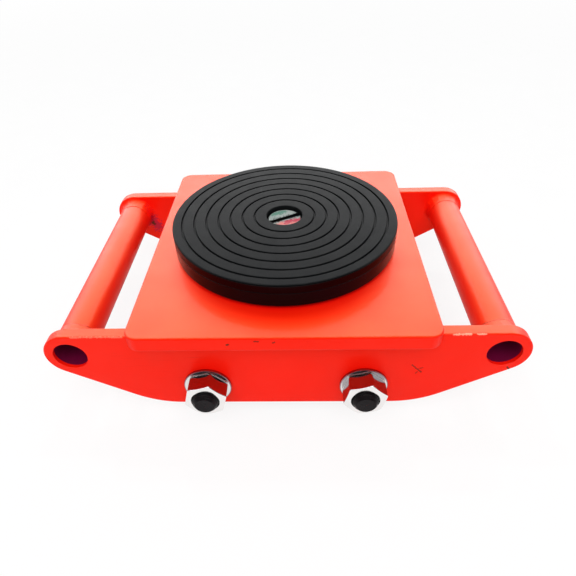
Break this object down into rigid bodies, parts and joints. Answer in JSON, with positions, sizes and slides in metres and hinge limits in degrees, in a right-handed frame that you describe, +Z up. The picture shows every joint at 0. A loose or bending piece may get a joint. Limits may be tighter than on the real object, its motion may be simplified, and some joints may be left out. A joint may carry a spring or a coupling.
{
  "type": "machine skate",
  "caption": "Low steel roller skate for moving machines: a deck on side plates with tow handle tubes, free rollers on clamped axles, and a swivelling rubber-faced load cap.",
  "frame": {"origin": "on the floor, under the middle of the deck and on the swivel's axis", "axes": "+X along the skate's length, from one tow handle to the other; +Y along the axles; +Z up"},
  "size_m": [0.292, 0.207, 0.109],
  "materials": {
    "red_enamel": "glossy orange-red enamel",
    "black_enamel": "satin black enamel",
    "pad_rubber": "moulded, grooved",
    "zinc_plate": "bright zinc plate",
    "blackened_steel": "black oxide",
    "bearing_steel": "ground and polished",
    "cage_brass": "pressed brass",
    "bush_bronze": "oiled bronze",
    "roller_nylon": "turned natural nylon"
  },
  "bodies": {
    "skate_frame": {"top_plate": "red_enamel", "side_plate_front": "red_enamel", "side_plate_rear": "red_enamel", "handle_tube_left": "red_enamel", "handle_tube_right": "red_enamel", "handle_weld_beads": "red_enamel", "top_plate_weld_beads": "red_enamel", "axle_left": "blackened_steel", "axle_right": "blackened_steel", "axle_washers": "zinc_plate", "axle_nuts": "zinc_plate", "axle_end_spacers": "zinc_plate", "axle_centre_spacers": "zinc_plate", "bearing_spacer_sleeves": "zinc_plate", "bearing_inner_rings": "bearing_steel", "pivot_screw": "zinc_plate", "pivot_washer": "zinc_plate", "pivot_nut": "zinc_plate", "thrust_race_lower": "bearing_steel"},
    "swivel_cap": {"cap_disc": "black_enamel", "rubber_pad": "pad_rubber", "cap_bush": "bush_bronze", "thrust_race_upper": "bearing_steel"},
    "thrust_cage_set": {"thrust_cage": "cage_brass", "thrust_balls": "bearing_steel"},
    "roller_set_front_left": {"roller_front_left": "roller_nylon", "bearing_outer_rings_front_left": "bearing_steel", "bearing_shields_front_left": "bearing_steel"},
    "cage_set_front_left": {"bearing_cages_front_left": "cage_brass", "bearing_balls_front_left": "bearing_steel"},
    "roller_set_front_right": {"roller_front_right": "roller_nylon", "bearing_outer_rings_front_right": "bearing_steel", "bearing_shields_front_right": "bearing_steel"},
    "cage_set_front_right": {"bearing_cages_front_right": "cage_brass", "bearing_balls_front_right": "bearing_steel"},
    "roller_set_rear_left": {"roller_rear_left": "roller_nylon", "bearing_outer_rings_rear_left": "bearing_steel", "bearing_shields_rear_left": "bearing_steel"},
    "cage_set_rear_left": {"bearing_cages_rear_left": "cage_brass", "bearing_balls_rear_left": "bearing_steel"},
    "roller_set_rear_right": {"roller_rear_right": "roller_nylon", "bearing_outer_rings_rear_right": "bearing_steel", "bearing_shields_rear_right": "bearing_steel"},
    "cage_set_rear_right": {"bearing_cages_rear_right": "cage_brass", "bearing_balls_rear_right": "bearing_steel"}
  },
  "joints": [
    {"name": "cap_swivel", "type": "hinge", "parent": "skate_frame", "child": "swivel_cap", "pos_m": [0, 0, 0.098], "axis": [0, 0, 1], "continuous": true},
    {"name": "thrust_cage_turn", "type": "hinge", "parent": "skate_frame", "child": "thrust_cage_set", "pos_m": [0, 0, 0.093], "axis": [0, 0, 1], "continuous": true},
    {"name": "roller_spin_front_left", "type": "hinge", "parent": "skate_frame", "child": "roller_set_front_left", "pos_m": [-0.04925, -0.0365, 0.0375], "axis": [0, 1, 0], "continuous": true},
    {"name": "cage_turn_front_left", "type": "hinge", "parent": "skate_frame", "child": "cage_set_front_left", "pos_m": [-0.04925, -0.0365, 0.0375], "axis": [0, 1, 0], "continuous": true},
    {"name": "roller_spin_front_right", "type": "hinge", "parent": "skate_frame", "child": "roller_set_front_right", "pos_m": [0.04925, -0.0365, 0.0375], "axis": [0, 1, 0], "continuous": true},
    {"name": "cage_turn_front_right", "type": "hinge", "parent": "skate_frame", "child": "cage_set_front_right", "pos_m": [0.04925, -0.0365, 0.0375], "axis": [0, 1, 0], "continuous": true},
    {"name": "roller_spin_rear_left", "type": "hinge", "parent": "skate_frame", "child": "roller_set_rear_left", "pos_m": [-0.04925, 0.0365, 0.0375], "axis": [0, 1, 0], "continuous": true},
    {"name": "cage_turn_rear_left", "type": "hinge", "parent": "skate_frame", "child": "cage_set_rear_left", "pos_m": [-0.04925, 0.0365, 0.0375], "axis": [0, 1, 0], "continuous": true},
    {"name": "roller_spin_rear_right", "type": "hinge", "parent": "skate_frame", "child": "roller_set_rear_right", "pos_m": [0.04925, 0.0365, 0.0375], "axis": [0, 1, 0], "continuous": true},
    {"name": "cage_turn_rear_right", "type": "hinge", "parent": "skate_frame", "child": "cage_set_rear_right", "pos_m": [0.04925, 0.0365, 0.0375], "axis": [0, 1, 0], "continuous": true}
  ],
  "couplings": [
    {"joint": "thrust_cage_turn", "follows": "cap_swivel", "ratio": 0.5},
    {"joint": "cage_turn_front_left", "follows": "roller_spin_front_left", "ratio": 0.6185},
    {"joint": "cage_turn_front_right", "follows": "roller_spin_front_right", "ratio": 0.6185},
    {"joint": "cage_turn_rear_left", "follows": "roller_spin_rear_left", "ratio": 0.6185},
    {"joint": "cage_turn_rear_right", "follows": "roller_spin_rear_right", "ratio": 0.6185}
  ]
}
